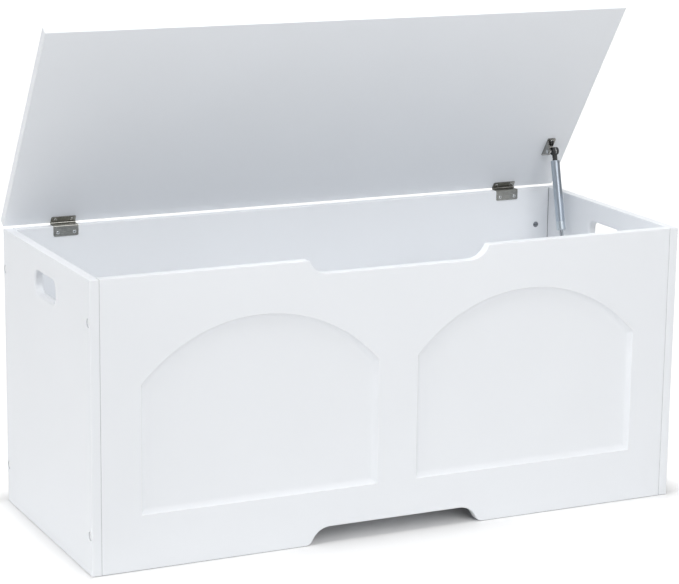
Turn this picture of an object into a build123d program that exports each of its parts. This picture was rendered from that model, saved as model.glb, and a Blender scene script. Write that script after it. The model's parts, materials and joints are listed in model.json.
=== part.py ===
from build123d import *
import math
import os

# Toy box: a white painted chest with a hinged lid that a gas strut holds open.
#
# Millimetres, +Z up, +X to the right seen from the front, +Y towards the back. The origin is on
# the floor, in the middle of the whole box as it stands with its lid open. The model is drawn
# with the lid open as far as the strut lets it go.

# Boards
WIDTH = 992.0  # outside, left to right
DEPTH = 395.0  # outside, front to back
HEIGHT = 445.0  # floor to the top edge of the four walls
BOARD = 15.0  # thickness of the walls and of the lid
EASE = 1.2  # radius of every sanded board edge
BASE_BOARD = 9.0
BASE_Z = 36.0  # underside of the bottom panel
GROOVE_DEPTH = 5.0
GROOVE_PLAY = 0.1  # gap on each side of the bottom panel in its groove

# Hand holds in the side panels
HOLD_WIDTH = 94.0
HOLD_HEIGHT = 36.0
HOLD_CORNER = 14.0
HOLD_Z = 393.0
HOLD_ROUND = 4.0  # rounding of the rim on both faces

# Front panel outline
NOTCH_HALF = 154.0  # half width of the finger scoop and of the toe cut-out, at their open side
SCOOP_DROP = 22.0
SCOOP_SHOULDER = 3.5
SCOOP_COVE = 32.0
TOE_RISE = 27.0
TOE_SHOULDER = 14.0
TOE_COVE = 32.0

# Arched recesses in the front panel
ARCH_OFFSET = 226.0  # middle of the box to the middle of an arch
ARCH_HALF = 193.0
ARCH_BOTTOM = 85.0
ARCH_SPRING = 282.0
ARCH_TOP = 371.0
ARCH_DEPTH = 6.0
ARCH_TAPER = 30.0
ARCH_COVE = 11.0

# Bolts, barrel nuts, caps and dowels at the four corners
BOLT_Z = (61.0, 381.0)
DOWEL_Z = (140.0, 300.0)
BOLT_R = 3.0
BOLT_LENGTH = 40.0
BOLT_HEAD_R = 6.0
BOLT_HEAD = 2.5
BOLT_HEAD_CHAMFER = 0.8
BOLT_SINK = 5.5  # depth of the counterbore
SINK_R = 7.0
SOCKET_R = 2.3
SOCKET_DEPTH = 1.6
CAP = 1.6
CAP_ROUND = 0.5
NUT_R = 5.0
NUT_LENGTH = 11.0
NUT_INSET = 24.0  # end of a panel to the axis of its barrel nut
SLOT_WIDTH = 1.4
SLOT_DEPTH = 1.0
DOWEL_R = 4.0
DOWEL_LENGTH = 30.0
DOWEL_IN_SIDE = 9.0
DOWEL_CHAMFER = 1.0
DOWEL_ROOM = 0.5  # empty end of a dowel hole
FIT = 0.05  # radial play of a shank in its hole
SINK_PLAY = 0.1
PAST = 1.0  # how far a shape runs past a face, so that it cuts or joins cleanly

# Hinges
HINGE_X = 398.0  # middle of the box to the middle of a hinge
HINGE_WIDTH = 41.0
KNUCKLES = 5
KNUCKLE_R = 1.9
KNUCKLE_GAP = 0.4
KNUCKLE_ROOM = 2.4  # how far each leaf stays from the axis beside the other's knuckles
PIN_R = 0.95
PIN_HEAD_R = 1.5
PIN_HEAD = 0.6
LEAF = 1.0
AXIS_OFFSET = 2.0  # hinge axis to the board that each leaf lies on
AXIS_INSET = 1.0  # back face of the box to the hinge axis
LEAF_REACH = 12.0
FLANGE_DROP = 17.5
LEAF_CORNER = 2.0
BEND_OUTER = 2.2
SCREW_SPREAD = 27.4
LEAF_SCREW_REACH = 6.3
FLANGE_SCREW_DROP = 11.5

# Wood screws
SCREW_R = 1.4
SCREW_HEAD_R = 2.6
SCREW_DOME = 0.5
SCREW_DOME_ROUND = 0.4
SCREW_LENGTH = 12.0
SCREW_POINT = 3.0
SCREW_TIP_R = 0.2
PILOT_ROOM = 0.5  # empty end of a pilot hole
CROSS_LENGTH = 3.2
CROSS_WIDTH = 0.9
CROSS_DEPTH = 1.0

# Lid and its travel
LID_OPEN = 56.3  # degrees, closed and level to open
LID_REST_GAP = 0.15  # underside of the front edge above the front panel when closed

# Gas strut
STRUT_X = WIDTH / 2 - BOARD - 18.0
STRUT_LEAN = 13.6  # degrees off upright when the lid is open
STRUT_LENGTH = 245.0  # ball centre to ball centre, extended
UPPER_REACH = 90.0  # hinge axis to the upper ball, along the lid
UPPER_DROP = 12.0  # underside of the lid to the upper ball
BALL_R = 4.0
NECK_R = 2.2
STUD_R = 3.2
RIVET_R = 2.2
RIVET_STAND = 0.1  # how far the riveted shank stands out of each side of its lug
RIVET_HEAD = 1.0
SOCKET_HEAD_R = 6.5
SOCKET_HALF = 6.0
SOCKET_ROUND = 1.2
SOCKET_PLAY = 0.1
SOCKET_MOUTH_R = 2.6
SOCKET_GAP = 0.5  # socket to the shoulder of its stud
SOCKET_STEM_R = 4.2
STEM_GROOVE = 0.7
STEM_GROOVE_END = 13.0
STEM_GROOVE_WIDTH = 1.0
STEM_END = 16.0  # ball centre to the end of the tube or of the rod
CLIP_R = 0.5  # wire of the safety clip round each socket
CLIP_OPENING = 104.0  # degrees left open for the stem
TUBE_R = 7.5
TUBE_WALL = 1.0
TUBE_LENGTH = 104.0
TUBE_END_ROUND = 1.2
TUBE_PLUG = 4.0
GUIDE_LENGTH = 15.0
GUIDE_PLUG = 6.5
GUIDE_R = 7.7
GUIDE_ROUND = 1.0
GUIDE_SEAM = 0.05  # guide's shoulder to the end of the tube
ROD_R = 3.0
PISTON_R = 6.4
PISTON_LENGTH = 5.0
PISTON_GAP = 0.5
PISTON_CHAMFER = 0.5

# Strut brackets
PLATE = 1.5
LUG_STAND = 5.0  # shoulder of the upper stud to its lug
LID_PLATE_WIDTH = 15.0
LID_PLATE_LENGTH = 38.0
LID_PLATE_CORNER = 3.0
LID_PLATE_SCREW = 8.5  # lug's outer face to the plate's screws
LUG_ROOT = 30.0
LUG_TIP_R = 6.5
SIDE_PLATE_WIDTH = 22.0
SIDE_PLATE_LENGTH = 40.0
SIDE_PLATE_CORNER = 4.0
FOOT_CLEARANCE = 0.3  # foot of the lower stud to the side bracket
LID_SCREW_SPREAD = 28.0
SIDE_SCREW_SPREAD = 30.0

# Worked out from the above
HALF_WIDTH = WIDTH / 2
HALF_INNER = HALF_WIDTH - BOARD
LID_TOP = AXIS_OFFSET + BOARD
OPEN_SIN = math.sin(math.radians(LID_OPEN))
OPEN_COS = math.cos(math.radians(LID_OPEN))
LID_OVERHANG = AXIS_INSET * OPEN_COS + LID_TOP * OPEN_SIN - AXIS_INSET
EDGE_TRIM = EASE * (OPEN_SIN + OPEN_COS - 1.0)
FRONT_Y = -(DEPTH + LID_OVERHANG - EDGE_TRIM) / 2
BACK_Y = FRONT_Y + DEPTH
MID_Y = FRONT_Y + DEPTH / 2
AXIS_Y = BACK_Y - AXIS_INSET
AXIS_Z = HEIGHT + AXIS_OFFSET
CLOSE_TILT = math.degrees(math.asin((2 * AXIS_OFFSET - LID_REST_GAP) / (DEPTH - AXIS_INSET)))
LID_TRAVEL = LID_OPEN + CLOSE_TILT
LID_PLACE = Pos(0, AXIS_Y, AXIS_Z) * Rot(-LID_OPEN, 0, 0)
GROOVE_LOW = BASE_Z - GROOVE_PLAY
GROOVE_HIGH = BASE_Z + BASE_BOARD + GROOVE_PLAY
LUG_X = STRUT_X - SOCKET_HALF - SOCKET_GAP - LUG_STAND - PLATE  # outer face of the lid bracket's lug
TUBE_END = -STEM_END - TUBE_LENGTH
PISTON_LOW = TUBE_END + GUIDE_PLUG + PISTON_GAP


def swing(y, z, degrees):
    """A point beside the hinge axis, turned about it. Closing is positive."""
    turn = math.radians(degrees)
    return (
        y * math.cos(turn) - z * math.sin(turn),
        y * math.sin(turn) + z * math.cos(turn),
    )


UPPER_OPEN = swing(-UPPER_REACH, AXIS_OFFSET - UPPER_DROP, -LID_OPEN)
UPPER_SHUT = swing(-UPPER_REACH, AXIS_OFFSET - UPPER_DROP, CLOSE_TILT)
UPPER_Y = AXIS_Y + UPPER_OPEN[0]
UPPER_Z = AXIS_Z + UPPER_OPEN[1]
LOWER_Y = UPPER_Y - STRUT_LENGTH * math.sin(math.radians(STRUT_LEAN))
LOWER_Z = UPPER_Z - STRUT_LENGTH * math.cos(math.radians(STRUT_LEAN))
SHUT_Y = AXIS_Y + UPPER_SHUT[0] - LOWER_Y
SHUT_Z = AXIS_Z + UPPER_SHUT[1] - LOWER_Z
STROKE = STRUT_LENGTH - math.hypot(SHUT_Y, SHUT_Z)
SHUT_LEAN = math.degrees(math.atan2(SHUT_Y, SHUT_Z))
STRUT_TURN = (STRUT_LEAN - SHUT_LEAN) - LID_TRAVEL  # of the cylinder about the lid, while closing
STRUT_PLACE = Pos(STRUT_X, UPPER_Y, UPPER_Z) * Rot(-STRUT_LEAN, 0, 0)


def block(x0, x1, y0, y1, z0, z1):
    """A plain box between two corners."""
    solid = Box(abs(x1 - x0), abs(y1 - y0), abs(z1 - z0))
    return Pos((x0 + x1) / 2, (y0 + y1) / 2, (z0 + z1) / 2) * solid


def rod(radius, start, end, axis="Z"):
    """A round bar along one axis, from start to end on that axis."""
    bar = Cylinder(radius, end - start)
    turn = {"X": Rot(0, 90, 0), "Y": Rot(-90, 0, 0), "Z": Rot(0, 0, 0)}[axis]
    middle = (start + end) / 2
    shift = {"X": Pos(middle, 0, 0), "Y": Pos(0, middle, 0), "Z": Pos(0, 0, middle)}[axis]
    return shift * turn * bar


def group(shapes):
    """Several separate solids in one node."""
    return Compound(children=[s for shape in shapes for s in shape.solids()])


def save(name, shape):
    solids = shape.solids()
    export_step(solids[0] if len(solids) == 1 else shape, f"parts/{name}.step")


def rod_between(radius, a, b, axis="Z"):
    """A round bar whose two ends may be given in either order."""
    return rod(radius, min(a, b), max(a, b), axis)


def circles(shape):
    return shape.edges().filter_by(GeomType.CIRCLE)


def wall_middle(wall):
    """Middle of the front wall, -1, or of the back wall, 1."""
    return FRONT_Y + BOARD / 2 if wall < 0 else BACK_Y - BOARD / 2


# Fasteners of the carcass, each drawn along +X from the middle of the box towards the side


def at_corner(side, wall, z, shape):
    """Places a shape drawn for the right end of a wall; the left one is its mirror image."""
    placed = Pos(0, wall_middle(wall), z) * shape
    return placed if side > 0 else mirror(placed, about=Plane.YZ)


def panel_bolt():
    head_x = HALF_WIDTH - BOLT_SINK
    shank = rod(BOLT_R, head_x - BOLT_LENGTH, head_x, "X")
    head = rod(BOLT_HEAD_R, head_x, head_x + BOLT_HEAD, "X")
    head = chamfer(head.edges().group_by(Axis.X)[-1], BOLT_HEAD_CHAMFER)
    key_plane = Plane.YZ.offset(head_x + BOLT_HEAD - SOCKET_DEPTH)
    key = extrude(key_plane * RegularPolygon(SOCKET_R, 6), SOCKET_DEPTH)
    return shank + head - key


def bolt_cap():
    outer = HALF_WIDTH - BOLT_SINK + BOLT_HEAD + CAP
    disc = rod(SINK_R - SINK_PLAY / 2, outer - CAP, outer, "X")
    return fillet(disc.edges().group_by(Axis.X)[-1], CAP_ROUND)


def bolt_hole():
    start = HALF_INNER - BOLT_LENGTH
    through = rod(BOLT_R + FIT, start, HALF_WIDTH + PAST, "X")
    return through + rod(SINK_R, HALF_WIDTH - BOLT_SINK, HALF_WIDTH + PAST, "X")


def barrel_nut(wall):
    """Lies across the panel, flush with its inner face, with a screwdriver slot in its end."""
    inner = -wall * BOARD / 2
    nut = rod_between(NUT_R, inner, inner + wall * NUT_LENGTH, "Y")
    nut = Pos(HALF_INNER - NUT_INSET, 0, 0) * nut
    nut -= rod(BOLT_R + FIT, 0, HALF_WIDTH, "X")
    slot = Box(2 * NUT_R, SLOT_DEPTH, SLOT_WIDTH)
    return nut - Pos(HALF_INNER - NUT_INSET, inner + wall * SLOT_DEPTH / 2, 0) * slot


def nut_hole(wall):
    inner = -wall * BOARD / 2
    hole = rod_between(NUT_R + FIT, inner - wall * PAST, inner + wall * (NUT_LENGTH + FIT), "Y")
    return Pos(HALF_INNER - NUT_INSET, 0, 0) * hole


def dowel():
    end = HALF_INNER + DOWEL_IN_SIDE
    pin = rod(DOWEL_R, end - DOWEL_LENGTH, end, "X")
    return chamfer(circles(pin), DOWEL_CHAMFER)


def dowel_hole():
    end = HALF_INNER + DOWEL_IN_SIDE
    return rod(DOWEL_R + FIT, end - DOWEL_LENGTH - DOWEL_ROOM, end + DOWEL_ROOM, "X")


def at_heights(wall, heights, shape):
    """Both sides of one wall, at each height."""
    return [at_corner(side, wall, z, shape) for side in (-1, 1) for z in heights]


def drill(panel, walls):
    """Takes the corner bolts, nuts and dowels out of a panel."""
    for wall in walls:
        for hole in at_heights(wall, BOLT_Z, bolt_hole()):
            panel -= hole
        for hole in at_heights(wall, BOLT_Z, nut_hole(wall)):
            panel -= hole
        for hole in at_heights(wall, DOWEL_Z, dowel_hole()):
            panel -= hole
    return panel


# Wood screws, drawn with the underside of the head's dome at the origin, pointing along -Z


def wood_screw():
    shank = rod(SCREW_R, SCREW_POINT - SCREW_LENGTH, -LEAF)
    point = Pos(0, 0, SCREW_POINT / 2 - SCREW_LENGTH) * Cone(SCREW_TIP_R, SCREW_R, SCREW_POINT)
    sink = Pos(0, 0, -LEAF / 2) * Cone(SCREW_R, SCREW_HEAD_R, LEAF)
    dome = rod(SCREW_HEAD_R, 0, SCREW_DOME)
    dome = fillet(dome.edges().group_by(Axis.Z)[-1], SCREW_DOME_ROUND)
    screw = shank + point + sink + dome
    bar = Pos(0, 0, SCREW_DOME - CROSS_DEPTH / 2) * Box(CROSS_LENGTH, CROSS_WIDTH, CROSS_DEPTH)
    return screw - bar - Rot(0, 0, 90) * bar


def screw_sink():
    """The hole for a wood screw in a plate whose face is at z = 0."""
    cone = Pos(0, 0, -LEAF / 2) * Cone(SCREW_R + FIT, SCREW_HEAD_R + FIT, LEAF)
    return cone + rod(SCREW_R + FIT, -SCREW_LENGTH, 0)


def screw_bore():
    """The pilot hole for a wood screw in a board."""
    return rod(SCREW_R + FIT, -SCREW_LENGTH - PILOT_ROOM, PAST)


def hinge_flange_screws(side):
    """Where the two screws of a hinge's back flange go."""
    x = side * HINGE_X
    y = BACK_Y - BOARD - LEAF
    z = HEIGHT + LEAF - FLANGE_SCREW_DROP
    spread = SCREW_SPREAD / 2
    return [Pos(x + dx, y, z) * Rot(90, 0, 0) for dx in (-spread, spread)]


def hinge_lid_screws(side):
    """Where the two screws of a hinge's lid leaf go, beside the axis with the lid level."""
    x = side * HINGE_X
    z = AXIS_OFFSET - LEAF
    spread = SCREW_SPREAD / 2
    return [Pos(x + dx, -LEAF_SCREW_REACH, z) * Rot(180, 0, 0) for dx in (-spread, spread)]


def lid_bracket_screws():
    """Where the two screws of the lid bracket go, beside the hinge axis with the lid level."""
    x = LUG_X + LID_PLATE_SCREW
    z = AXIS_OFFSET - PLATE
    spread = LID_SCREW_SPREAD / 2
    return [Pos(x, -UPPER_REACH + dy, z) * Rot(180, 0, 0) for dy in (-spread, spread)]


def side_bracket_screws():
    """Where the two screws of the side bracket go."""
    x = HALF_INNER - PLATE
    spread = SIDE_SCREW_SPREAD / 2
    return [Pos(x, LOWER_Y, LOWER_Z + dz) * Rot(0, -90, 0) for dz in (-spread, spread)]


# Boards


def eased_board(x0, x1, y0, y1, z0, z1):
    board = block(x0, x1, y0, y1, z0, z1)
    return fillet(board.edges(), EASE)


def groove(x0, x1, y0, y1):
    """The groove that the bottom panel sits in, over the given stretch."""
    return block(x0, x1, y0, y1, GROOVE_LOW, GROOVE_HIGH)


def hand_hold(side):
    outline = Plane.YZ * RectangleRounded(HOLD_WIDTH, HOLD_HEIGHT, HOLD_CORNER)
    return Pos(side * HALF_INNER, MID_Y, HOLD_Z) * extrude(outline, 2 * BOARD, both=True)


def on_hold_rim(edge, side):
    """True for an edge of the hand hold that lies in one of the panel's two faces."""
    at = edge.center()
    in_width = abs(at.Y - MID_Y) <= HOLD_WIDTH / 2 + FIT
    in_height = abs(at.Z - HOLD_Z) <= HOLD_HEIGHT / 2 + FIT
    on_face = min(abs(at.X - side * HALF_WIDTH), abs(at.X - side * HALF_INNER)) < FIT
    return in_width and in_height and on_face


def side_panel(side):
    inner = side * HALF_INNER
    panel = eased_board(inner, side * HALF_WIDTH, FRONT_Y, BACK_Y, 0, HEIGHT)
    panel -= hand_hold(side)
    panel = fillet([e for e in panel.edges() if on_hold_rim(e, side)], HOLD_ROUND)
    front_end = FRONT_Y + BOARD - GROOVE_DEPTH
    back_end = BACK_Y - BOARD + GROOVE_DEPTH
    panel -= groove(inner - side * PAST, inner + side * GROOVE_DEPTH, front_end, back_end)
    panel = drill(panel, (-1, 1))
    if side > 0:
        for spot in side_bracket_screws():
            panel -= spot * screw_bore()
    return panel


def notch_ends(half, rise, shoulder, cove):
    """Half the width of a notch's floor, and how far out and how high its two arcs meet.

    Heights are measured from the notch's open side. The shoulder is convex and tangent to that
    side, and the cove is concave and tangent to the notch's floor.
    """
    total = shoulder + cove
    run = math.sqrt(total**2 - (total - rise) ** 2)
    join_x = half - run * shoulder / total
    join_h = shoulder - (total - rise) * shoulder / total
    return half - run, join_x, join_h


def notch_edges(half, rise, shoulder, cove, level, up):
    """The edge of a notch from its left end to its right end, as lines and arcs.

    level is the height of the notch's open side, and up is 1 for a notch that rises from it.
    """
    flat, join_x, join_h = notch_ends(half, rise, shoulder, cove)
    floor = level + up * rise
    join = level + up * join_h
    return [
        TangentArc((-half, level), (-join_x, join), tangent=(1, 0)),
        TangentArc((-flat, floor), (-join_x, join), tangent=(-1, 0)),
        Line((-flat, floor), (flat, floor)),
        TangentArc((flat, floor), (join_x, join), tangent=(1, 0)),
        TangentArc((half, level), (join_x, join), tangent=(-1, 0)),
    ]


def front_outline():
    """The front panel from the front, with the finger scoop on top and the toe cut-out below."""
    scoop = notch_edges(NOTCH_HALF, SCOOP_DROP, SCOOP_SHOULDER, SCOOP_COVE, HEIGHT, -1)
    toe = notch_edges(NOTCH_HALF, TOE_RISE, TOE_SHOULDER, TOE_COVE, 0, 1)
    rest = [
        Line((-HALF_INNER, 0), (-NOTCH_HALF, 0)),
        Line((NOTCH_HALF, 0), (HALF_INNER, 0)),
        Line((HALF_INNER, 0), (HALF_INNER, HEIGHT)),
        Line((HALF_INNER, HEIGHT), (NOTCH_HALF, HEIGHT)),
        Line((-NOTCH_HALF, HEIGHT), (-HALF_INNER, HEIGHT)),
        Line((-HALF_INNER, HEIGHT), (-HALF_INNER, 0)),
    ]
    return make_face(Wire.combine([e for part in scoop + toe + rest for e in part.edges()]))


def arch_pocket():
    """The material routed out for one arch, with a cove all the way round its foot."""
    right = ARCH_HALF
    outline = [
        Line((-right, ARCH_BOTTOM), (right, ARCH_BOTTOM)),
        Line((right, ARCH_BOTTOM), (right, ARCH_SPRING)),
        ThreePointArc((right, ARCH_SPRING), (0, ARCH_TOP), (-right, ARCH_SPRING)),
        Line((-right, ARCH_SPRING), (-right, ARCH_BOTTOM)),
    ]
    face = make_face(Wire.combine([e for part in outline for e in part.edges()]))
    pocket = extrude(face, ARCH_DEPTH, taper=ARCH_TAPER)
    return fillet(pocket.edges().group_by(Axis.Z)[-1], ARCH_COVE)


def front_panel():
    upright = Plane(origin=(0, FRONT_Y, 0), x_dir=(1, 0, 0), z_dir=(0, -1, 0))
    panel = extrude(upright * front_outline(), -BOARD)
    middle_y = FRONT_Y + BOARD / 2
    rims = [e for e in panel.edges() if abs(e.center().Y - middle_y) > BOARD / 2 - FIT]
    panel = fillet(rims, EASE)
    into = Plane(origin=(0, FRONT_Y, 0), x_dir=(-1, 0, 0), z_dir=(0, 1, 0))
    for middle in (-ARCH_OFFSET, ARCH_OFFSET):
        panel -= into * Pos(middle, 0, 0) * arch_pocket()
    face_y = FRONT_Y + BOARD
    end = HALF_INNER + PAST
    panel -= groove(-end, end, face_y - GROOVE_DEPTH, face_y + PAST)
    return drill(panel, (-1,))


def back_panel():
    face_y = BACK_Y - BOARD
    end = HALF_INNER + PAST
    panel = eased_board(-HALF_INNER, HALF_INNER, face_y, BACK_Y, 0, HEIGHT)
    panel -= groove(-end, end, face_y - PAST, face_y + GROOVE_DEPTH)
    for side in (-1, 1):
        for spot in hinge_flange_screws(side):
            panel -= spot * screw_bore()
    return drill(panel, (1,))


def bottom_panel():
    reach = GROOVE_DEPTH - GROOVE_PLAY
    front_end = FRONT_Y + BOARD - reach
    back_end = BACK_Y - BOARD + reach
    side_end = HALF_INNER + reach
    return block(-side_end, side_end, front_end, back_end, BASE_Z, BASE_Z + BASE_BOARD)


def lid_panel():
    low = AXIS_INSET - DEPTH
    panel = eased_board(-HALF_WIDTH, HALF_WIDTH, low, AXIS_INSET, AXIS_OFFSET, LID_TOP)
    for side in (-1, 1):
        for spot in hinge_lid_screws(side):
            panel -= spot * screw_bore()
    for spot in lid_bracket_screws():
        panel -= spot * screw_bore()
    return LID_PLACE * panel


# Hinges, drawn with the axis at the origin and the lid level


def knuckle_span(index):
    pitch = HINGE_WIDTH / KNUCKLES
    start = -HINGE_WIDTH / 2 + index * pitch
    return start + KNUCKLE_GAP / 2, start + pitch - KNUCKLE_GAP / 2


def leaf_with_knuckles(leaf, own, others, web_low, web_high):
    """Joins a leaf to its own knuckles and cuts room in it for the other leaf's."""
    low, high = web_low - PAST, web_high + PAST
    for index in others:
        start, end = knuckle_span(index)
        leaf -= block(start - KNUCKLE_GAP, end + KNUCKLE_GAP, -KNUCKLE_ROOM, KNUCKLE_R, low, high)
    for index in own:
        start, end = knuckle_span(index)
        leaf += rod(KNUCKLE_R, start, end, "X")
    return leaf - rod(PIN_R + FIT, -HINGE_WIDTH, HINGE_WIDTH, "X")


def hinge_lid_leaf(side):
    low, high = AXIS_OFFSET - LEAF, AXIS_OFFSET
    half = HINGE_WIDTH / 2
    leaf = block(-half, half, -LEAF_REACH, 0, low, high)
    leaf = fillet(leaf.edges().filter_by(Axis.Z).group_by(Axis.Y)[0], LEAF_CORNER)
    leaf = leaf_with_knuckles(leaf, (1, 3), (0, 2, 4), low, high)
    leaf = Pos(side * HINGE_X, 0, 0) * leaf
    for spot in hinge_lid_screws(side):
        leaf -= spot * screw_sink()
    return LID_PLACE * leaf


def hinge_body_leaf(side):
    """Lies on the top edge of the back panel and bends down over its inner face."""
    low, high = -AXIS_OFFSET, LEAF - AXIS_OFFSET
    half = HINGE_WIDTH / 2
    face_y = AXIS_INSET - BOARD
    leaf = block(-half, half, face_y - LEAF, 0, low, high)
    leaf += block(-half, half, face_y - LEAF, face_y, high - FLANGE_DROP, high)
    long_edges = leaf.edges().filter_by(Axis.X)
    leaf = fillet(long_edges.group_by(Axis.Z)[-1].sort_by(Axis.Y)[0], BEND_OUTER)
    leaf = fillet(leaf.edges().filter_by(Axis.Y).group_by(Axis.Z)[0], LEAF_CORNER)
    leaf = leaf_with_knuckles(leaf, (0, 2, 4), (1, 3), low, high)
    leaf = Pos(side * HINGE_X, AXIS_Y, AXIS_Z) * leaf
    for spot in hinge_flange_screws(side):
        leaf -= spot * screw_sink()
    return leaf


def hinge_pin(side):
    half = HINGE_WIDTH / 2
    pin = rod(PIN_R, -half, half, "X")
    for end in (-1, 1):
        pin += rod_between(PIN_HEAD_R, end * half, end * (half + PIN_HEAD), "X")
    return Pos(side * HINGE_X, AXIS_Y, AXIS_Z) * pin


# Gas strut, drawn from the upper ball at the origin down along -Z


def facing(shape, toward):
    """A shape drawn towards +X, turned towards -X where toward is -1."""
    return shape if toward > 0 else mirror(shape, about=Plane.YZ)


def ball_stud(length, toward):
    """A ball on a neck and a shouldered base, along X from the ball's centre."""
    shoulder = SOCKET_HALF + SOCKET_GAP
    stud = Sphere(BALL_R) + rod(NECK_R, 0, shoulder + PAST, "X")
    stud += rod(STUD_R, shoulder, length, "X")
    return facing(stud, toward)


def clip_ring(wire_r):
    """A ring of wire round the middle of a socket."""
    return Rot(0, 90, 0) * Torus(SOCKET_HEAD_R, wire_r)


def ball_socket(toward):
    """The end fitting that snaps over a ball, with its stem along -Z."""
    socket = rod(SOCKET_HEAD_R, -SOCKET_HALF, SOCKET_HALF, "X")
    socket = fillet(circles(socket), SOCKET_ROUND)
    socket -= clip_ring(CLIP_R + FIT)
    socket += rod(SOCKET_STEM_R, -STEM_END, -SOCKET_HEAD_R / 2)
    socket -= Sphere(BALL_R + SOCKET_PLAY)
    socket -= facing(rod(SOCKET_MOUTH_R, 0, SOCKET_HALF + PAST, "X"), toward)
    low, high = -STEM_GROOVE_END, STEM_GROOVE_WIDTH - STEM_GROOVE_END
    ring = rod(SOCKET_STEM_R + PAST, low, high) - rod(SOCKET_STEM_R - STEM_GROOVE, low, high)
    return socket - ring


def socket_clip():
    """The open ring of spring wire that stops the socket from spreading."""
    half = math.radians(CLIP_OPENING / 2)
    reach = 2 * SOCKET_HEAD_R
    out, down = reach * math.sin(half), reach * math.cos(half)
    wedge = Polyline((0, 0), (out, -down), (-out, -down), close=True)
    opening = extrude(Plane.YZ * make_face(wedge), PAST, both=True)
    return clip_ring(CLIP_R) - opening


def tube():
    """The pressure tube, closed at its top end."""
    top = -STEM_END
    shell = rod(TUBE_R, TUBE_END, top)
    shell = fillet(shell.edges().group_by(Axis.Z)[-1], TUBE_END_ROUND)
    return shell - rod(TUBE_R - TUBE_WALL, TUBE_END - PAST, top - TUBE_PLUG)


def rod_guide():
    """The end cap that guides the rod, with a plug inside the tube."""
    top = TUBE_END - GUIDE_SEAM
    end = TUBE_END - GUIDE_LENGTH
    plug_top = TUBE_END + GUIDE_PLUG
    cap = fillet(circles(rod(GUIDE_R, end, top)), GUIDE_ROUND)
    cap += rod(TUBE_R - TUBE_WALL - FIT, top - GUIDE_ROUND, plug_top)
    return cap - rod(ROD_R + FIT, end - PAST, plug_top + PAST)


def piston_rod():
    return rod(ROD_R, STEM_END - STRUT_LENGTH, PISTON_LOW)


def piston():
    disc = rod(PISTON_R, PISTON_LOW, PISTON_LOW + PISTON_LENGTH)
    return chamfer(circles(disc), PISTON_CHAMFER)


def flipped(shape):
    """Turns an end fitting drawn for the top so that it fits the bottom of the strut."""
    return Pos(0, 0, -STRUT_LENGTH) * Rot(180, 0, 0) * shape


def lug_outline():
    """A triangle with a round tip at the upper ball, from the side."""
    root = LUG_ROOT / 2
    low, high = AXIS_OFFSET - PLATE, AXIS_OFFSET
    foot = Polyline((-root, low), (root, low), (root, high), (-root, high), close=True)
    tip = Pos(0, AXIS_OFFSET - UPPER_DROP) * Circle(LUG_TIP_R)
    return make_hull([*foot.edges(), *tip.edges()])


def lid_bracket():
    """A plate on the underside of the lid with a lug that carries the upper stud."""
    plate_end = LUG_X + LID_PLATE_WIDTH
    half = LID_PLATE_LENGTH / 2
    plate = block(LUG_X, plate_end, -half, half, AXIS_OFFSET - PLATE, AXIS_OFFSET)
    plate = fillet(plate.edges().filter_by(Axis.Z).group_by(Axis.X)[-1], LID_PLATE_CORNER)
    bracket = plate + extrude(Plane.YZ.offset(LUG_X) * lug_outline(), PLATE)
    bore = rod(RIVET_R + FIT, LUG_X - PAST, LUG_X + PLATE + PAST, "X")
    bracket -= Pos(0, 0, AXIS_OFFSET - UPPER_DROP) * bore
    bracket = Pos(0, -UPPER_REACH, 0) * bracket
    for spot in lid_bracket_screws():
        bracket -= spot * screw_bore()
        bracket -= spot * screw_sink()
    return LID_PLACE * bracket


def upper_stud():
    """The ball stud of the lid bracket, riveted through its lug."""
    base = STRUT_X - LUG_X - PLATE
    stud = Pos(STRUT_X, 0, 0) * ball_stud(base, -1)
    stud += rod(RIVET_R, LUG_X - RIVET_STAND, LUG_X + PLATE + RIVET_STAND, "X")
    stud += rod(STUD_R, LUG_X - RIVET_HEAD, LUG_X, "X")
    return LID_PLACE * Pos(0, -UPPER_REACH, AXIS_OFFSET - UPPER_DROP) * stud


def side_bracket():
    """The plate on the right side panel that the lower stud stands on."""
    half_y = SIDE_PLATE_WIDTH / 2
    half_z = SIDE_PLATE_LENGTH / 2
    plate = block(HALF_INNER - PLATE, HALF_INNER, -half_y, half_y, -half_z, half_z)
    plate = Pos(0, LOWER_Y, LOWER_Z) * fillet(plate.edges().filter_by(Axis.X), SIDE_PLATE_CORNER)
    for spot in side_bracket_screws():
        plate -= spot * screw_bore()
        plate -= spot * screw_sink()
    return plate


def lower_stud():
    length = HALF_INNER - PLATE - FOOT_CLEARANCE - STRUT_X
    return flipped(ball_stud(length, 1))


def save_corner_fasteners():
    for wall, name in ((-1, "front"), (1, "back")):
        save(f"{name}_panel_bolts", group(at_heights(wall, BOLT_Z, panel_bolt())))
        save(f"{name}_barrel_nuts", group(at_heights(wall, BOLT_Z, barrel_nut(wall))))
        save(f"{name}_bolt_caps", group(at_heights(wall, BOLT_Z, bolt_cap())))
        save(f"{name}_dowels", group(at_heights(wall, DOWEL_Z, dowel())))


def save_hinges():
    screw = wood_screw()
    for side, name in ((-1, "left"), (1, "right")):
        save(f"{name}_hinge_body_leaf", hinge_body_leaf(side))
        save(f"{name}_hinge_lid_leaf", hinge_lid_leaf(side))
        save(f"{name}_hinge_pin", hinge_pin(side))
        save(f"{name}_hinge_body_screws", group([s * screw for s in hinge_flange_screws(side)]))
        lid_screws = [LID_PLACE * s * screw for s in hinge_lid_screws(side)]
        save(f"{name}_hinge_lid_screws", group(lid_screws))


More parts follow.
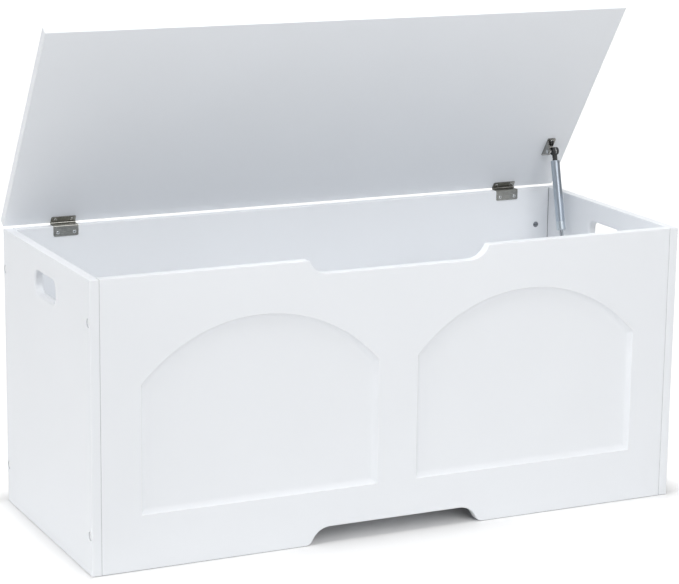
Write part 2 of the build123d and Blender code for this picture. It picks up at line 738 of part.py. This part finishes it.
def save_strut():
    screw = wood_screw()
    save("strut_lid_bracket", lid_bracket())
    save("strut_lid_screws", group([LID_PLACE * s * screw for s in lid_bracket_screws()]))
    save("strut_upper_stud", upper_stud())
    save("strut_upper_socket", STRUT_PLACE * ball_socket(-1))
    save("strut_upper_clip", STRUT_PLACE * socket_clip())
    save("strut_tube", STRUT_PLACE * tube())
    save("strut_rod_guide", STRUT_PLACE * rod_guide())
    save("strut_piston", STRUT_PLACE * piston())
    save("strut_rod", STRUT_PLACE * piston_rod())
    save("strut_lower_socket", STRUT_PLACE * flipped(ball_socket(1)))
    save("strut_lower_clip", STRUT_PLACE * flipped(socket_clip()))
    save("strut_lower_stud", STRUT_PLACE * lower_stud())
    save("strut_side_bracket", side_bracket())
    save("strut_side_screws", group([s * screw for s in side_bracket_screws()]))


def main():
    os.makedirs("parts", exist_ok=True)
    save("left_side_panel", side_panel(-1))
    save("right_side_panel", side_panel(1))
    save("front_panel", front_panel())
    save("back_panel", back_panel())
    save("bottom_panel", bottom_panel())
    save("lid_panel", lid_panel())
    save_corner_fasteners()
    save_hinges()
    save_strut()
    print(f"strut {STRUT_LENGTH:.0f} mm long, stroke {STROKE:.2f} mm")
    print(f"lid travel {LID_TRAVEL:.3f} degrees")


if __name__ == "__main__":
    main()
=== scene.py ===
"""Looks for the white toy box: materials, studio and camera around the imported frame.

Metres, +Z up, the front of the box towards -Y. Every CAD node keeps its own mesh and gets a
procedural material. All texture is in object coordinates, which are the frame's own metres.
"""

import json
import math

import bpy
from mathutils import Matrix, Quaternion, Vector


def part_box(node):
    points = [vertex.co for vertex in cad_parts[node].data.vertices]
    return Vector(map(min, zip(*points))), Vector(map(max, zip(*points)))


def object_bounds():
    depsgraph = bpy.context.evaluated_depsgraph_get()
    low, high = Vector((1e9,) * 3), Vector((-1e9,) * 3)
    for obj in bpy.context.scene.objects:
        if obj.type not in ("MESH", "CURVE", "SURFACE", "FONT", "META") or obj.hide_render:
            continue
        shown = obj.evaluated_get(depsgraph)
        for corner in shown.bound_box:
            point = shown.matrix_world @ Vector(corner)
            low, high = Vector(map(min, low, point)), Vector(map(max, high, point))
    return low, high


# Camera, in degrees and metres
VIEW_AZIMUTH = -25.765
VIEW_ELEVATION = 13.153
VIEW_ROLL = 0.740
VIEW_DISTANCE = 3.801
VIEW_AIM = Vector((-0.0076, -0.0092, 0.3424))
LENS_MM = 127.15
SENSOR_MM = 36.0

# Lights, in degrees, metres and watts
AMBIENT = 0.16  # how bright the surround is to light and reflections
BACKDROP = 1.0  # and to the camera
SUNS = {
    # name: (azimuth, elevation, soft angle, strength)
    "front_sun": (0.0, 33.0, 45.0, 1.24),
    "left_sun": (-95.0, 32.0, 50.0, 1.46),
    "back_sun": (165.0, 30.0, 50.0, 0.80),
}
PANELS = {
    # name: (place, aim, width, height, watts)
    "inner_fill": ((0.0, -0.42, 1.35), (0.0, 0.1, 0.3), 1.1, 0.4, 5.2),
}

# Floor
FLOOR_RADIUS = 40.0
FLOOR_STEPS = 96
FLOOR_WHITE = 0.95
FLOOR_GLOW = 0.45  # lifts the open floor to white, away from the box's own shadow
BOX_FADE = 0.06  # how far from the box the glow grows to its full strength
TOE_FADE = 0.28  # the same in front of the toe cut-out, whose shadow reaches further
TOE_HALF = 0.17  # half the width of the place where that shadow is darkest

# Paint, plastic and wood
PAINT_WHITE = (0.880, 0.903, 0.934)
# painted highlight: the white paint is drawn lighter than itself on its arrises
ARRIS_HIGHLIGHT_WHITE = (0.96, 0.97, 0.98)
CAP_WHITE = (0.85, 0.87, 0.895)
NYLON_BLACK = (0.022, 0.023, 0.025)
BEECH_TAN = (0.62, 0.44, 0.27)
BEECH_GRAIN = (30.0, 600.0, 600.0)  # features per metre along each axis
BEECH_FLECKS = (400.0, 2600.0, 2600.0)

# Metals
STEEL_GRAIN = (40.0, 900.0, 900.0)
RINGS_ACROSS = 20.0
PLATED = {
    # slot: (colour, smoothest, roughest)
    "zinc_bolts": ((0.62, 0.63, 0.65), 0.25, 0.42),
    "zinc_nuts": ((0.32, 0.335, 0.36), 0.30, 0.45),
    "hinge_steel": ((0.40, 0.395, 0.365), 0.22, 0.38),
    "screw_steel": ((0.95, 0.95, 0.94), 0.16, 0.28),
    "clip_wire": ((0.70, 0.70, 0.70), 0.20, 0.30),
    "bracket_steel": ((0.40, 0.395, 0.375), 0.12, 0.26),
}
TURNED = {
    # slot: (colour, smoothest, roughest, rings per metre)
    "stud_steel": ((0.60, 0.61, 0.62), 0.18, 0.30, 1600.0),
    "rod_chrome": ((0.45, 0.48, 0.51), 0.14, 0.24, 3000.0),
    "piston_alloy": ((0.72, 0.73, 0.75), 0.25, 0.40, 1200.0),
}
ENAMELLED = {
    # slot: colour
    "strut_paint": (0.47, 0.53, 0.60),
    "strut_guide": (0.58, 0.64, 0.69),
}

# Painted highlights on arrises and painted shade in seams: how wide they are, in metres, and how
# much they change the colour
PAINT_ARRIS = 0.0012
PAINT_SEAM = 0.0025
PAINT_SEAM_PAINTED_SHADE = 0.35
METAL_ARRIS = 0.0006
METAL_ARRIS_HIGHLIGHT = 2.2
METAL_SEAM = 0.003
METAL_SEAM_PAINTED_SHADE = 0.08
ARRIS_SAMPLES = 4
SEAM_SAMPLES = 8

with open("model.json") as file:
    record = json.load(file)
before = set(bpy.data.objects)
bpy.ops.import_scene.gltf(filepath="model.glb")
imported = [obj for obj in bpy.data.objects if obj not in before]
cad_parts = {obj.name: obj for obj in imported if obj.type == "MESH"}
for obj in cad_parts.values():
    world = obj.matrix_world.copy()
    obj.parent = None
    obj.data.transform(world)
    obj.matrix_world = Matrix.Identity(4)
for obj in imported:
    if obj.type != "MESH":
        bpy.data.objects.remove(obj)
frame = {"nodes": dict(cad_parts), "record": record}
cad_low, cad_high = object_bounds()
nodes = frame["nodes"]


# Studio and camera


def direction(azimuth, elevation):
    """From the box towards a place round it. Azimuth 0 is in front, and 90 to the right."""
    a = math.radians(azimuth)
    e = math.radians(elevation)
    return Vector((math.sin(a) * math.cos(e), -math.cos(a) * math.cos(e), math.sin(e)))


def put(name, data, place, towards):
    """Adds a lamp or a camera that looks along a direction."""
    obj = bpy.data.objects.new(name, data)
    obj.location = place
    obj.rotation_mode = "QUATERNION"
    obj.rotation_quaternion = towards.to_track_quat("-Z", "Y")
    bpy.context.collection.objects.link(obj)
    return obj


def make_camera():
    back = direction(VIEW_AZIMUTH, VIEW_ELEVATION)
    data = bpy.data.cameras.new("camera")
    data.lens = LENS_MM
    data.sensor_width = SENSOR_MM
    cam = put("camera", data, VIEW_AIM + back * VIEW_DISTANCE, -back)
    roll = Quaternion((0.0, 0.0, 1.0), math.radians(VIEW_ROLL))
    cam.rotation_quaternion = cam.rotation_quaternion @ roll
    bpy.context.scene.camera = cam


def make_lights():
    for name, (azimuth, elevation, angle, strength) in SUNS.items():
        data = bpy.data.lights.new(name, "SUN")
        data.angle = math.radians(angle)
        data.energy = strength
        back = direction(azimuth, elevation)
        put(name, data, back, -back)
    for name, (place, aim, width, height, watts) in PANELS.items():
        data = bpy.data.lights.new(name, "AREA")
        data.shape = "RECTANGLE"
        data.size = width
        data.size_y = height
        data.energy = watts
        lamp = put(name, data, Vector(place), Vector(aim) - Vector(place))
        lamp.visible_camera = False


def make_world():
    """A dim surround for light and reflections, and a white one behind the floor's edge."""
    scene = bpy.context.scene
    scene.view_settings.view_transform = "Standard"
    scene.world = bpy.data.worlds.new("studio")
    scene.world.use_nodes = True
    tree = scene.world.node_tree
    path = tree.nodes.new("ShaderNodeLightPath")
    level = tree.nodes.new("ShaderNodeMapRange")
    level.inputs["To Min"].default_value = AMBIENT
    level.inputs["To Max"].default_value = BACKDROP
    tree.links.new(path.outputs["Is Camera Ray"], level.inputs["Value"])
    background = tree.nodes["Background"]
    background.inputs["Color"].default_value = (1.0, 1.0, 1.0, 1.0)
    tree.links.new(level.outputs["Result"], background.inputs["Strength"])


# Node helpers: a Recipe builds one material


class Recipe:
    """A Principled material and the few kinds of node that the finishes are made of."""

    def __init__(self, name, color, roughness, metallic=0.0):
        self.material = bpy.data.materials.new(name)
        self.material.use_nodes = True
        self.tree = self.material.node_tree
        self.shader = self.tree.nodes["Principled BSDF"]
        self.set("Base Color", (*color, 1.0))
        self.set("Roughness", roughness)
        self.set("Metallic", metallic)
        self.place = self.add("ShaderNodeTexCoord").outputs["Object"]
        self.bump_normal = None

    def add(self, kind):
        return self.tree.nodes.new(kind)

    def set(self, socket, value):
        self.shader.inputs[socket].default_value = value

    def link(self, output, socket):
        self.tree.links.new(output, socket)

    def stretched(self, scale):
        """Object coordinates scaled along each axis."""
        node = self.add("ShaderNodeMapping")
        node.inputs["Scale"].default_value = scale
        self.link(self.place, node.inputs["Vector"])
        return node.outputs["Vector"]

    def noise(self, scale, detail=3.0, roughness=0.5, place=None):
        """Noise around 0.5. Scale is in features per metre."""
        node = self.add("ShaderNodeTexNoise")
        node.inputs["Scale"].default_value = scale
        node.inputs["Detail"].default_value = detail
        node.inputs["Roughness"].default_value = roughness
        self.link(place or self.place, node.inputs["Vector"])
        return node.outputs["Fac"]

    def mapped(self, value, low, high, start=0.3, end=0.7):
        """Maps a value from start..end to low..high."""
        node = self.add("ShaderNodeMapRange")
        node.inputs["From Min"].default_value = start
        node.inputs["From Max"].default_value = end
        node.inputs["To Min"].default_value = low
        node.inputs["To Max"].default_value = high
        self.link(value, node.inputs["Value"])
        return node.outputs["Result"]

    def calc(self, operation, a, b=0.0):
        """One sum. Each value is a float or another node's output."""
        node = self.add("ShaderNodeMath")
        node.operation = operation
        for socket, value in zip(node.inputs, (a, b)):
            if isinstance(value, float):
                socket.default_value = value
            else:
                self.link(value, socket)
        return node.outputs["Value"]

    def mix(self, factor, a, b):
        """Mixes two colours. Each is a tuple or another node's colour."""
        node = self.add("ShaderNodeMix")
        node.data_type = "RGBA"
        self.link(factor, node.inputs["Factor"])
        for socket, value in zip((node.inputs["A"], node.inputs["B"]), (a, b)):
            if isinstance(value, tuple):
                socket.default_value = (*value, 1.0)
            else:
                self.link(value, socket)
        return node.outputs["Result"]

    def paint(self, color_output):
        self.link(color_output, self.shader.inputs["Base Color"])

    def rough(self, value_output):
        self.link(value_output, self.shader.inputs["Roughness"])

    def bump(self, height, distance):
        """Adds relief of a real depth, in metres, on top of any added before."""
        node = self.add("ShaderNodeBump")
        node.inputs["Strength"].default_value = 1.0
        node.inputs["Distance"].default_value = distance
        self.link(height, node.inputs["Height"])
        if self.bump_normal is not None:
            self.link(self.bump_normal, node.inputs["Normal"])
        self.bump_normal = node.outputs["Normal"]
        self.link(self.bump_normal, self.shader.inputs["Normal"])


def shade(color, factor):
    return tuple(min(1.0, c * factor) for c in color)


def arris_mask(recipe, radius):
    """0 on flat faces and 1 on arrises, from how far a rounded normal leaves the true one."""
    rounded = recipe.add("ShaderNodeBevel")
    rounded.samples = ARRIS_SAMPLES
    rounded.inputs["Radius"].default_value = radius
    geometry = recipe.add("ShaderNodeNewGeometry")
    dot = recipe.add("ShaderNodeVectorMath")
    dot.operation = "DOT_PRODUCT"
    recipe.link(rounded.outputs["Normal"], dot.inputs[0])
    recipe.link(geometry.outputs["True Normal"], dot.inputs[1])
    return recipe.mapped(dot.outputs["Value"], low=1.0, high=0.0, start=0.90, end=0.99)


def open_to_light_mask(recipe, reach, start, end):
    """1 in the open and 0 in seams and corners that are tighter than the reach; the finishes
    darken by it to paint shade there.
    """
    node = recipe.add("ShaderNodeAmbientOcclusion")
    node.samples = SEAM_SAMPLES
    node.inputs["Distance"].default_value = reach
    return recipe.mapped(node.outputs["AO"], low=0.0, high=1.0, start=start, end=end)


# Materials


def white_board():
    """Satin white sprayed paint: soft clouding, orange peel, a painted highlight on the arrises
    and painted shade in seams and tight corners.
    """
    r = Recipe("white_board", PAINT_WHITE, roughness=0.4)
    cloud = r.mapped(r.noise(3.0, detail=2.0), low=0.0, high=1.0)
    clouded = r.mix(cloud, shade(PAINT_WHITE, 0.985), shade(PAINT_WHITE, 1.01))
    speckle = r.mapped(r.noise(900.0, detail=1.0), low=0.0, high=0.35)
    mottled = r.mix(speckle, clouded, shade(PAINT_WHITE, 0.985))
    # painted highlight: the arrises are drawn lighter than the flat paint
    highlit_arrises = r.mix(arris_mask(r, PAINT_ARRIS), mottled, ARRIS_HIGHLIGHT_WHITE)
    # painted shade: the paint is darkened in seams and corners tighter than the reach
    paint_open_to_light = open_to_light_mask(r, PAINT_SEAM, start=0.35, end=0.75)
    r.paint(r.mix(paint_open_to_light, shade(PAINT_WHITE, PAINT_SEAM_PAINTED_SHADE), highlit_arrises))
    r.rough(r.mapped(r.noise(14.0, detail=4.0), low=0.34, high=0.46))
    r.set("Specular IOR Level", 0.42)
    r.bump(r.noise(60.0, detail=2.0), distance=0.00012)
    r.bump(r.noise(520.0, detail=2.0), distance=0.00003)
    return r.material


def white_caps():
    """Moulded plastic, a little smoother than the paint around it."""
    r = Recipe("white_caps", CAP_WHITE, roughness=0.3)
    r.paint(r.mix(r.noise(200.0), shade(CAP_WHITE, 0.98), shade(CAP_WHITE, 1.02)))
    r.rough(r.mapped(r.noise(300.0), low=0.26, high=0.36))
    r.bump(r.noise(1500.0, detail=1.0), distance=0.00001)
    return r.material


def plated_steel(name, color, smooth, coarse):
    """Plated steel with a fine grain, faint tarnish, a painted highlight on the arrises and
    painted shade in seams and gaps.
    """
    r = Recipe(name, color, roughness=0.3, metallic=1.0)
    lines = r.noise(1.0, detail=4.0, roughness=0.6, place=r.stretched(STEEL_GRAIN))
    tarnish = r.mapped(r.noise(160.0, detail=4.0), low=0.0, high=1.0)
    base = r.mix(tarnish, shade(color, 0.85), shade(color, 1.10))
    streaked = r.mix(r.mapped(lines, low=0.0, high=0.4), base, shade(color, 0.75))
    # painted highlight: the arrises are drawn much lighter than the flat metal
    highlit_arrises = r.mix(arris_mask(r, METAL_ARRIS), streaked, shade(color, METAL_ARRIS_HIGHLIGHT))
    # painted shade: the metal is darkened nearly to black in seams and gaps tighter than the
    # reach
    metal_open_to_light = open_to_light_mask(r, METAL_SEAM, start=0.35, end=0.85)
    r.paint(r.mix(metal_open_to_light, shade(color, METAL_SEAM_PAINTED_SHADE), highlit_arrises))
    r.rough(r.mapped(lines, low=smooth, high=coarse))
    r.bump(lines, distance=0.000012)
    return r.material


def turned_metal(name, color, smooth, coarse, pitch):
    """Machined or ground round metal, with fine rings along the frame's Z."""
    r = Recipe(name, color, roughness=smooth, metallic=1.0)
    along_z = r.stretched((RINGS_ACROSS, RINGS_ACROSS, pitch))
    rings = r.noise(1.0, detail=2.0, place=along_z)
    r.paint(r.mix(rings, shade(color, 0.92), shade(color, 1.06)))
    r.rough(r.mapped(rings, low=smooth, high=coarse))
    r.bump(rings, distance=0.000004)
    return r.material


def enamel(name, color):
    """Silver grey enamel on steel tube, with fine flakes under a smooth coat."""
    r = Recipe(name, color, roughness=0.3, metallic=0.85)
    flakes = r.mapped(r.noise(4200.0, detail=1.0), low=0.0, high=1.0)
    r.paint(r.mix(flakes, shade(color, 0.92), shade(color, 1.08)))
    r.rough(r.mapped(r.noise(90.0), low=0.32, high=0.38))
    r.set("Coat Weight", 0.3)
    r.set("Coat Roughness", 0.12)
    return r.material


def black_nylon():
    """Moulded nylon with a fine, uneven sheen."""
    r = Recipe("black_nylon", NYLON_BLACK, roughness=0.42)
    r.paint(r.mix(r.noise(400.0), shade(NYLON_BLACK, 0.8), shade(NYLON_BLACK, 1.5)))
    r.rough(r.mapped(r.noise(500.0), low=0.34, high=0.5))
    r.bump(r.noise(1800.0, detail=2.0), distance=0.00002)
    return r.material


def beech():
    """Bare beech with grain along X and the short dark flecks of the wood."""
    r = Recipe("beech", BEECH_TAN, roughness=0.6)
    grain = r.noise(1.0, detail=5.0, place=r.stretched(BEECH_GRAIN))
    flecks = r.noise(1.0, detail=1.0, place=r.stretched(BEECH_FLECKS))
    base = r.mix(grain, shade(BEECH_TAN, 0.82), shade(BEECH_TAN, 1.15))
    dark = r.mapped(flecks, low=0.0, high=0.6, start=0.6, end=0.7)
    r.paint(r.mix(dark, base, shade(BEECH_TAN, 0.5)))
    r.bump(grain, distance=0.0001)
    return r.material


PLAIN = {
    "white_board": white_board,
    "white_caps": white_caps,
    "black_socket": black_nylon,
    "beech_dowels": beech,
}


def finish(slot):
    """The material of one slot of the record."""
    if slot in PLATED:
        return plated_steel(slot, *PLATED[slot])
    if slot in TURNED:
        return turned_metal(slot, *TURNED[slot])
    if slot in ENAMELLED:
        return enamel(slot, ENAMELLED[slot])
    return PLAIN[slot]()


def finish_nodes():
    """Gives every CAD node the finish of its material slot in the record."""
    made = {}
    for part in frame["record"]["subparts"]:
        slot = part["material_slot"]
        if slot not in made:
            made[slot] = finish(slot)
        materials = nodes[part["node"]].data.materials
        materials.clear()
        materials.append(made[slot])


# Floor


def clear_of(recipe, centre, half, fade):
    """0 over a rectangle of the floor, given its middle and half sizes, growing to 1 round it."""
    split = recipe.add("ShaderNodeSeparateXYZ")
    recipe.link(recipe.place, split.inputs["Vector"])
    squares = []
    for axis, output in enumerate(("X", "Y")):
        offset = recipe.calc("SUBTRACT", split.outputs[output], centre[axis])
        gap = recipe.calc("SUBTRACT", recipe.calc("ABSOLUTE", offset), half[axis])
        outside = recipe.calc("MAXIMUM", gap, 0.0)
        squares.append(recipe.calc("MULTIPLY", outside, outside))
    distance = recipe.calc("SQRT", recipe.calc("ADD", *squares))
    return recipe.mapped(distance, low=0.0, high=1.0, start=0.0, end=fade)


def floor_white():
    """Matt white floor that looks lit to white, except in the box's own shadow."""
    r = Recipe("floor_white", (FLOOR_WHITE,) * 3, roughness=0.9)
    r.set("Specular IOR Level", 0.2)
    r.set("Emission Color", (1.0, 1.0, 1.0, 1.0))
    low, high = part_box("front_panel")
    walls_low, walls_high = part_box("left_side_panel")
    middle_y = (walls_low.y + walls_high.y) / 2
    walls_half = (cad_high.x, (walls_high.y - walls_low.y) / 2)
    round_box = clear_of(r, (0.0, middle_y), walls_half, BOX_FADE)
    round_toe = clear_of(r, (0.0, low.y), (TOE_HALF, high.y - low.y), TOE_FADE)
    glow = r.calc("MULTIPLY", r.calc("MINIMUM", round_box, round_toe), FLOOR_GLOW)
    seen = r.add("ShaderNodeLightPath").outputs["Is Camera Ray"]
    r.link(r.calc("MULTIPLY", glow, seen), r.shader.inputs["Emission Strength"])
    return r.material


def make_floor():
    """A round floor at the height that the box stands on."""
    turn = 2 * math.pi / FLOOR_STEPS
    z = cad_low.z
    rim = [
        (FLOOR_RADIUS * math.cos(i * turn), FLOOR_RADIUS * math.sin(i * turn), z)
        for i in range(FLOOR_STEPS)
    ]
    mesh = bpy.data.meshes.new("floor")
    mesh.from_pydata(rim, [], [tuple(range(FLOOR_STEPS))])
    obj = bpy.data.objects.new("floor", mesh)
    bpy.context.collection.objects.link(obj)
    mesh.materials.append(floor_white())


make_camera()
make_world()
make_lights()
make_floor()
finish_nodes()
